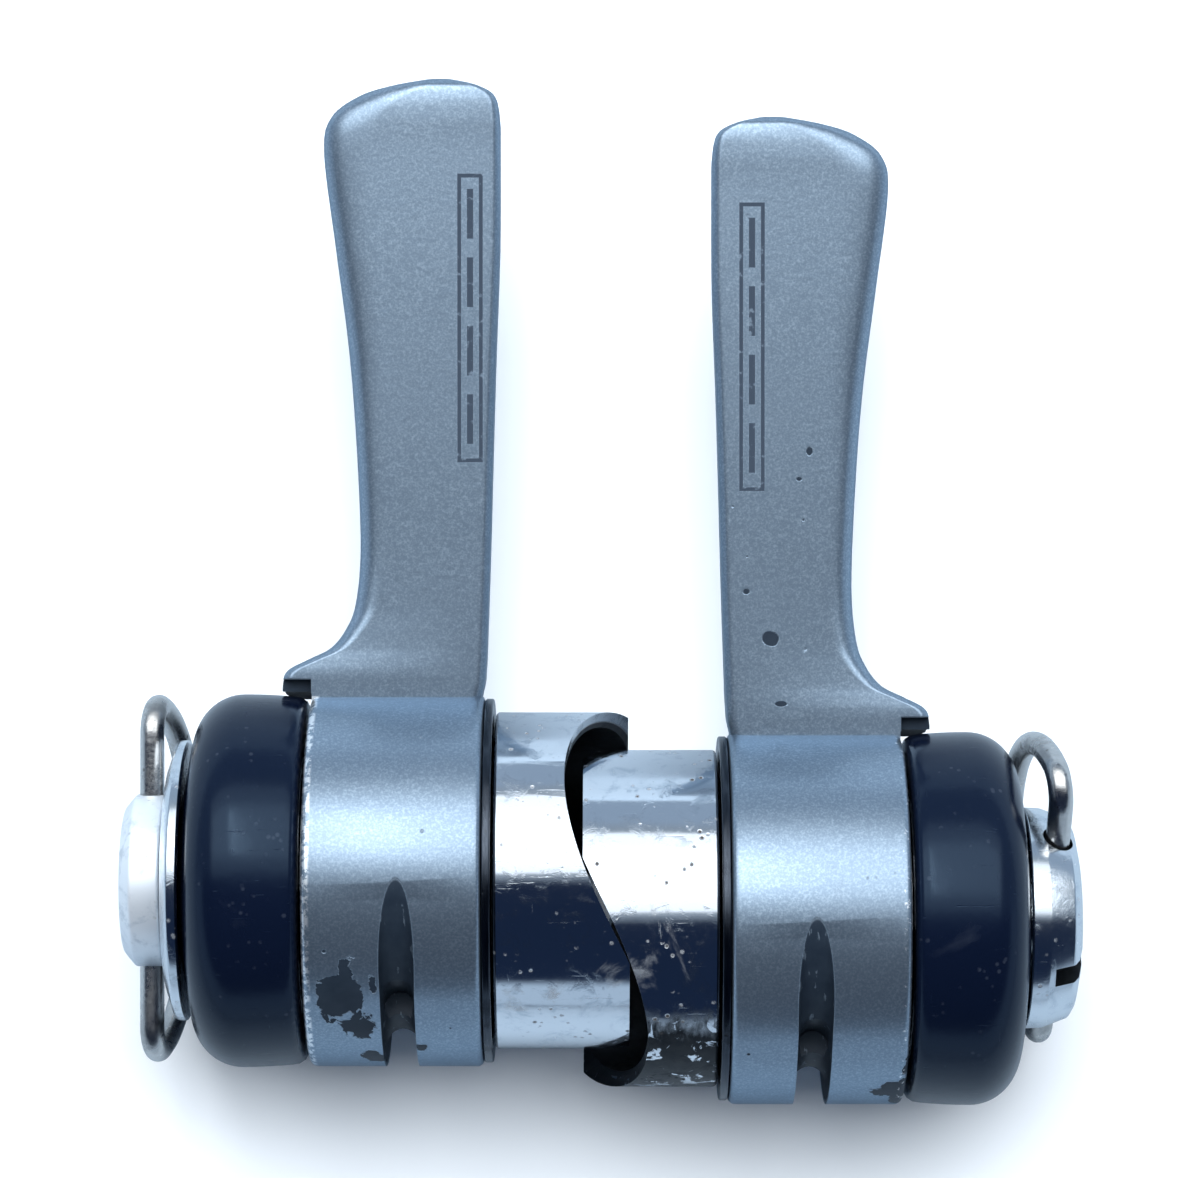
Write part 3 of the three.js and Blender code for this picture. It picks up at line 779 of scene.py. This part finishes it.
def lever_shape():
    """Barrel and blade as one casting, with its bore, drum, groove and cable hole."""
    outline = arc_corners(
        [(BARREL_START, 0.0), (BARREL_START, BARREL_R), (BARREL_END, BARREL_R),
         (BARREL_END, 0.0)], [0, 0.45, 0.45, 0])
    whole = joined(turned(outline, False), [blade()], "UNION")
    keep_back = joined(groove_cutter(), [box(0, 12, -30, 1.2, -30, 30)], "INTERSECT")
    hole = rod_along((GROOVE_MID, -5.9, 12.0), (0, -0.3, -0.95), 6.5, 1.0)
    return joined(whole, [
        box(BARREL_END + 0.03, 22.0, 10.0, LEDGE_Y, LEDGE_Z, 30.0),
        solid_rod(12.5, BARREL_END - 0.02, 21.0),
        solid_rod(HUB_BORE_R, 0.0, 13.0, 96),
        solid_rod(RECESS_R, -1.0, RECESS_END, 96),
        solid_rod(DRUM_ROOM_R, DRUM_ROOM_START, 13.0, 96),
        box(DRUM_ROOM_START, 13.0, -KEY_REACH, KEY_REACH, -KEY_HALF, KEY_HALF),
        stop_slot(),
        keep_back,
        hole,
    ], "DIFFERENCE")


def stop_slot():
    """Ring sector that the stop tab runs in: the lever's swing and its clearance."""
    bm = bmesh.new()
    (u0, u1), (r0, r1) = STOP_SLOT_U, STOP_SLOT_R
    corners = [(u0, r0), (u1, r0), (u1, r1), (u0, r1)]
    verts = [bm.verts.new((u, r, 0.0)) for u, r in corners]
    face = bm.faces.new(verts)
    start = STOP_AT - STOP_SWING - STOP_CLEAR
    swing = STOP_SWING + 2 * STOP_CLEAR
    bmesh.ops.rotate(bm, cent=(0, 0, 0), matrix=Matrix.Rotation(start, 3, "X"),
                     verts=bm.verts[:])
    bmesh.ops.spin(bm, geom=[face], cent=(0, 0, 0), axis=(1, 0, 0), angle=swing, steps=40,
                   use_duplicate=False)
    bmesh.ops.recalc_face_normals(bm, faces=bm.faces[:])
    return bm


def sleeve_shape(side):
    """Thin cup whose open end is cut to the saddle of the frame tube."""
    turn = SADDLE_TURN if side == "left" else -SADDLE_TURN
    inner = SLEEVE_R - SLEEVE_WALL
    floor = SLEEVE_BACK - SLEEVE_FLOOR
    outline = arc_corners(
        [(-SLEEVE_LONG, SLEEVE_R), (SLEEVE_BACK, SLEEVE_R), (SLEEVE_BACK, SLEEVE_HOLE_R),
         (floor, SLEEVE_HOLE_R), (floor, inner), (-SLEEVE_LONG, inner)],
        [0, 0.25, 0.15, 0.15, 0.3, 0])
    across = Vector((0, math.sin(turn), math.cos(turn)))
    start = Vector((-SLEEVE_SHORT - TUBE_R, 0, 0)) - across * 30
    return joined(turned(outline, True), [rod_along(start, across, 60, TUBE_R, 220)],
                  "DIFFERENCE")


def cap_shape(side):
    """Round cap with a slightly crowned wall, a deep shoulder and a domed face."""
    outline = [(CAP_START, 0.0), (CAP_START, CAP_R - 0.75), (CAP_START + 0.15, CAP_R - 0.45),
               (CAP_START + 0.5, CAP_R - 0.22)]
    crown_from, crown_to, sag = CAP_START + 0.9, CAP_SHOULDER - CAP_ROUND, 0.16
    for k in range(9):
        t = k / 8
        outline.append((crown_from + (crown_to - crown_from) * t, CAP_R - sag * (1 - t) ** 2))
    steps = 16
    for k in range(1, steps):
        angle = k / steps * math.pi / 2
        outline.append((crown_to + CAP_ROUND * math.sin(angle),
                        CAP_R - CAP_ROUND + CAP_ROUND * math.cos(angle)))
    face_r, rise = CAP_R - CAP_ROUND, CAP_FACE[side] - CAP_SHOULDER
    for k in range(1, 8):
        t = k / 8
        outline.append((CAP_SHOULDER + rise * (1 - (1 - t) ** 2), face_r * (1 - t)))
    outline.append((CAP_FACE[side], 0.0))
    return joined(turned(outline, False), [
        solid_rod(CAP_ROOM_R, 11.0, CAP_ROOM_END, 96),
        joined(solid_rod(FLATS_R, 14.0, FLATS_END, 96),
               [box(13, 17, -9, 9, -FLATS_HALF, FLATS_HALF)], "INTERSECT"),
        solid_rod(POST_ROOM_R, 16.0, POST_ROOM_END, 64),
        solid_rod(BOLT_HOLE_R, 14.0, 22.0, 64),
    ], "DIFFERENCE")


def plate_shape():
    """Thin stop disc with a square hole and one bent tab."""
    outline = arc_corners([(0.0, 0.0), (0.0, DISC_R), (DISC_THICK, DISC_R), (DISC_THICK, 0.0)],
                          [0, 0.12, 0.12, 0])
    half = DISC_SQUARE_HALF
    plate = joined(turned(outline, False), [box(-1, 2, -half, half, -half, half)],
                   "DIFFERENCE")
    tab = box(DISC_THICK - 0.1, TAB_END, 9.3, 10.7, -1.2, 1.2)
    bmesh.ops.rotate(tab, cent=(0, 0, 0), matrix=Matrix.Rotation(STOP_AT, 3, "X"),
                     verts=tab.verts[:])
    return joined(plate, [tab], "UNION")


def washer_shape():
    """Dished washer with a turned rim."""
    return turned(arc_corners(
        [(20.8, 2.8), (20.12, 9.0), (20.25, 9.25), (20.85, 9.25), (21.4, 7.6), (21.55, 6.2),
         (21.55, 2.8)],
        [0.05, 0.04, 0.06, 0.25, 1.0, 0.6, 0.05]), True)


def bolt_shape(side):
    """Round head with its bail holes, and the plain shank."""
    if side == "left":
        outline = arc_corners(
            [(21.65, 0.0), (21.65, 5.7), (23.6, 5.7), (24.35, 4.8), (24.35, 0.0)],
            [0, 0.25, 0.35, 0.4, 0])
    else:
        outline = arc_corners(
            [(20.6, 0.0), (20.6, 3.0), (20.1, 7.3), (21.3, 7.25), (23.0, 6.6), (23.35, 6.0),
             (23.65, 4.6), (24.0, 0.0)],
            [0, 0.1, 0.15, 0.5, 0.4, 0.4, 1.5, 0])
    shank = turned(arc_corners([(6.0, 0.0), (6.0, 2.5), (22.6, 2.5), (22.6, 0.0)],
                               [0, 0.4, 0, 0]), False, 64)
    head = joined(turned(outline, False), [shank], "UNION")
    along = Vector((0, math.sin(HINGE_TURN[side]), math.cos(HINGE_TURN[side])))
    tools = []
    for sign in (1, -1):
        start = Vector((HINGE_U[side], 0, 0)) + along * (3.2 * sign)
        tools.append(rod_along(start, along * sign, 8, WIRE_R + 0.2, 40))
    if side == "right":
        slot = box(21.7, 26, -9, 9, -0.65, 0.65)
        bmesh.ops.rotate(slot, cent=(0, 0, 0), matrix=Matrix.Rotation(-SLOT_TURN, 3, "X"),
                         verts=slot.verts[:])
        tools.append(slot)
    return joined(head, tools, "DIFFERENCE")


def bail_shape(side):
    """Open D of round wire whose two straight ends hinge in the head."""
    along = Vector((0, math.sin(HINGE_TURN[side]), math.cos(HINGE_TURN[side])))
    lean = BAIL_LEAN[side]
    down = Vector((0, along.z, -along.y)) * math.cos(lean)
    down.x = -math.sin(lean)
    corner = math.sqrt((BAIL_R - BAIL_CORNER_R) ** 2 - BAIL_CORNER_R ** 2)
    join = math.atan2(BAIL_CORNER_R, corner)
    flat = [(BAIL_END_R + 0.05 * k, 0.0) for k in (0, 1, 4)] + [(5.0, 0), (7.0, 0), (8.6, 0)]
    for k in range(13):
        angle = -math.pi / 2 + (join + math.pi / 2) * k / 12
        flat.append((corner + BAIL_CORNER_R * math.cos(angle),
                     BAIL_CORNER_R + BAIL_CORNER_R * math.sin(angle)))
    for k in range(1, 31):
        angle = join + (math.pi / 2 - join) * k / 30
        flat.append((BAIL_R * math.cos(angle), BAIL_R * math.sin(angle)))
    flat += [(-s, d) for s, d in reversed(flat[:-1])]
    hinge = Vector((HINGE_U[side], 0, 0))
    path = [hinge + along * s + down * d for s, d in flat]
    normal = along.cross(down).normalized()
    segments = 24
    last = len(path) - 1
    rings = []
    for i, point in enumerate(path):
        ahead = (path[min(i + 1, last)] - path[max(i - 1, 0)]).normalized()
        out = ahead.cross(normal).normalized()
        radius = WIRE_R * (0.72, 0.93, 1.0)[min(i, last - i, 2)]
        rings.append([
            point + (normal * math.sin(angle) + out * math.cos(angle)) * radius
            for angle in (2 * math.pi * k / segments for k in range(segments))])
    return drawn_out(rings)


# --- materials in use ----------------------------------------------------------------
def spots(unit, rows):
    """Chip rows (u, y, z, radius, rag, stretch) to frame positions."""
    return [(unit.at(u, y, z), r * MM, rag * MM, stretch)
            for u, y, z, r, rag, stretch in rows]


ROUND = (1, 1, 1)
left_chips = spots(units["left"], [
    (9.2, -4.9, 11.2, 0.85, 0.6, (1.35, 0.7, 0.7)),
    (9.5, -6.2, 10.55, 1.25, 0.7, (0.9, 0.9, 0.7)),
    (9.9, -7.4, 9.75, 0.95, 0.7, (1.0, 0.8, 0.8)),
    (8.5, -8.8, 8.5, 1.0, 0.7, (0.8, 1.0, 0.9)),
    (7.5, -5.9, 10.7, 0.5, 0.45, (1.5, 0.6, 0.8)),
    (7.5, -11.2, 4.9, 0.75, 0.4, (0.9, 0.8, 0.6)),
    (4.6, -10.4, 6.4, 0.4, 0.4, (1.1, 0.8, 0.6)),
    (10.5, -3.7, 11.7, 0.17, 0.12, ROUND),
    (2.6, -8.9, 8.4, 0.1, 0.05, ROUND),
])
right_chips = spots(units["right"], [
    (3.42, 18.5, EDGE_TOP, 0.56, 0.1, (0.95, 1.1, 0.4)),
    (4.15, 14.2, EDGE_TOP, 0.38, 0.08, (0.9, 2.0, 0.4)),
    (1.84, 21.6, EDGE_TOP, 0.2, 0.05, (0.9, 1.1, 0.4)),
    (5.99, 30.85, 1.7, 0.27, 0.1, (1.1, 0.9, 0.4)),
    (5.3, 29.0, 1.7, 0.18, 0.06, (0.9, 1.3, 0.4)),
    (5.59, 26.3, 1.66, 0.1, 0.04, ROUND),
    (0.95, 27.2, 1.6, 0.1, 0.04, ROUND),
    (1.88, 23.9, 1.62, 0.08, 0.03, ROUND),
    (11.4, -10.7, 6.0, 1.1, 0.6, (0.7, 1.0, 0.8)),
    (11.9, -9.1, 8.2, 0.5, 0.5, (1.5, 0.6, 0.8)),
    (11.9, -11.6, 3.9, 1.0, 0.5, (0.9, 0.9, 0.8)),
    (1.7, -8.0, 9.3, 0.12, 0.04, ROUND),
])


def stripe(unit, u0, u1, y0, y1):
    a, b = unit.at(u0, y0, 0), unit.at(u1, y1, 0)
    return (min(a.x, b.x), max(a.x, b.x), a.y, b.y)


paint = {
    "left": lever_paint("left", left_chips, stripe(units["left"], 0.7, 2.4, 27.6, 46.6),
                        units["left"], 0.46),
    "right": lever_paint("right", right_chips, stripe(units["right"], 1.35, 3.05, 28.2, 47.2),
                         units["right"], 0.58),
}
resin = cap_resin()
right_unit = units["right"]
sleeve_metal = {
    "left": chrome("left_sleeve_chrome", 0.25, 0.8, unit=units["left"]),
    "right": chrome("right_sleeve_chrome", 0.35, 1.0, unit=right_unit, dark_patch=(-4.6, -2.0)),
}
head_chrome = chrome("head_chrome", 0.2, 0.3, tint=(0.80, 0.85, 0.90), unit=right_unit,
                     slot=True, base_rough=0.14)
satin_head = chrome("satin_head", 0.2, 0.4, tint=(0.88, 0.93, 0.98), base_rough=0.40,
                    metallic=0.62)
# Steel darkened nearly to black: painted shade, standing for the black crevice between lever and
# sleeve where the stop disc sits; the hidden inner plates share it.
plate_steel = worked_metal("plate_steel", (0.10, 0.115, 0.14), (0.018, 0.022, 0.03), 0.14, 0.3)
wire_steel = worked_metal("wire_steel", (0.80, 0.78, 0.75), (0.50, 0.485, 0.47), 0.16, 0.32,
                          brushed=False)
spring_steel = worked_metal("spring_steel", (0.55, 0.58, 0.62), (0.38, 0.40, 0.44), 0.2, 0.35)
bronze = worked_metal("bronze", (0.62, 0.44, 0.22), (0.42, 0.29, 0.13), 0.3, 0.5,
                      brushed=False)
inner_resin = soft_material("inner_resin", (0.035, 0.037, 0.042), (0.014, 0.015, 0.018), 0.6)
seal_rubber = soft_material("seal_rubber", (0.022, 0.022, 0.022), (0.010, 0.010, 0.010), 0.8)

# --- build ---------------------------------------------------------------------------
for side, unit in units.items():
    finish_piece(lever_shape(), unit, side + "_lever_casting", side + "_lever", paint[side],
                 side + "_lever_body", sharp=38)
    finish_piece(cap_shape(side), unit, side + "_round_cap", side + "_cap", resin,
                 unit.body, sharp=40)
    finish_piece(sleeve_shape(side), unit, side + "_saddle_sleeve", side + "_boss_sleeve",
                 sleeve_metal[side], unit.body, bevel=0.12)
    finish_piece(plate_shape(), unit, side + "_stop_disc", side + "_stop_plate", plate_steel,
                 unit.body, sharp=50)
    finish_piece(bolt_shape(side), unit, side + "_headed_bolt", side + "_bolt",
                 satin_head if side == "left" else head_chrome,
                 side + "_bolt_body", bevel=0.08)
    finish_piece(bail_shape(side), unit, side + "_wire_bail", side + "_bail", wire_steel,
                 side + "_bail_body", sharp=60)
finish_piece(washer_shape(), units["left"], "left_dome_washer", "left_domed_washer",
             head_chrome, "left_unit", sharp=50)

NODE_LOOKS = {
    "pivot_hub": plate_steel, "pivot_bush": bronze, "inner_washer": inner_resin,
    "friction_disc": inner_resin, "pressure_plate": plate_steel, "index_disc": plate_steel,
    "ball_plate": plate_steel, "detent_ball": spring_steel, "spring_washer": spring_steel,
    "seal_ring": seal_rubber,
}
for name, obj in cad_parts.items():
    for part, look in NODE_LOOKS.items():
        if part in name:
            for slot in obj.material_slots:
                slot.material = look
            if not obj.material_slots:
                obj.data.materials.append(look)

# --- floor, light and camera ---------------------------------------------------------
floor_bm = bmesh.new()
bmesh.ops.create_grid(floor_bm, x_segments=2, y_segments=2, size=3.0)
floor = as_object(floor_bm, "floor")
floor_paper, graph, shader = start_material("floor_paper", Roughness=0.75)
place = graph.place()
tone = graph.mix(graph.noise(place, 8.0, 3.0), (0.90, 0.935, 0.97), (0.94, 0.965, 0.99))
direct = graph.node("ShaderNodeLightPath").outputs["Is Camera Ray"]
graph.link(graph.mix(direct, (0.33, 0.40, 0.47), tone), shader.inputs["Base Color"])
floor.data.materials.append(floor_paper)


def softbox(name, where, towards, width, depth, power, colour=(1, 1, 1)):
    data = bpy.data.lights.new(name, "AREA")
    data.shape = "RECTANGLE"
    data.size, data.size_y = width, depth
    data.energy = power
    data.color = colour
    light = bpy.data.objects.new(name, data)
    light.location = where
    light.rotation_euler = (Vector(towards) - Vector(where)).to_track_quat("-Z", "Y").to_euler()
    bpy.context.scene.collection.objects.link(light)
    return light


aim = Vector((0.0, units["left"].y, 0.012))
SKY_GLOW, WINDOW_GLOW, LAMP_GLOW = 1.0, 1.1, 16.0


def glow_power(glow, width, depth):
    """Watts that give a rectangle this brightness."""
    return glow * math.pi * width * depth


def overhead(angle, reach, across=0.0):
    """A point above the levers, leaning towards their tips."""
    return aim + Vector((across, reach * math.sin(angle), reach * math.cos(angle)))


softbox("window", overhead(math.radians(36), 0.8), aim, 1.8, 0.84,
        glow_power(SKY_GLOW, 1.8, 0.84), (0.93, 0.97, 1.0))
softbox("window_core", overhead(math.radians(34.5), 0.78), aim, 1.5, 0.46,
        glow_power(WINDOW_GLOW, 1.5, 0.46), (0.95, 0.98, 1.0))
softbox("strip_lamp", overhead(math.radians(33), 0.74, -0.092), aim + Vector((-0.026, 0, 0)),
        0.016, 0.36, glow_power(LAMP_GLOW, 0.016, 0.36), (0.95, 0.98, 1.0))
table_light = softbox("table_light", overhead(math.radians(30), 1.1), aim, 1.2, 1.2, 21.0,
                      (0.93, 0.97, 1.0))
table_light.visible_glossy = False

world = bpy.data.worlds.new("room")
bpy.context.scene.world = world
world.use_nodes = True
room = Graph(world.node_tree)
backdrop = world.node_tree.nodes["Background"]
way = room.node("ShaderNodeTexCoord").outputs["Generated"]
split = room.split(way)
toward_tips = room.ramp(split["Y"], 0.0, 0.14)
walls = room.mix(toward_tips, (0.009, 0.018, 0.045), (0.25, 0.31, 0.38))
low = room.ramp(split["Z"], 0.40, 0.27)
walls = room.mix(low, walls, room.mix(toward_tips, (0.40, 0.52, 0.66), (0.27, 0.36, 0.48)))
seen = room.node("ShaderNodeLightPath").outputs["Is Camera Ray"]
room.link(room.mix(seen, walls, (1.0, 1.0, 1.0)), backdrop.inputs["Color"])
backdrop.inputs["Strength"].default_value = 1.0

CAMERA_HEIGHT, CAMERA_AHEAD, CAMERA_ASIDE = 0.270, 0.01927, -0.0001
camera_data = bpy.data.cameras.new("camera")
camera_data.sensor_width = 36.0
camera_data.lens = 122.3
camera_data.clip_start = 0.01
camera = bpy.data.objects.new("camera", camera_data)
camera.location = (CAMERA_ASIDE, units["left"].y + CAMERA_AHEAD,
                   units["left"].z + CAMERA_HEIGHT)
camera.rotation_euler = (0.0, 0.0, 0.0)
bpy.context.scene.collection.objects.link(camera)
bpy.context.scene.camera = camera
bpy.context.scene.view_settings.view_transform = "Standard"
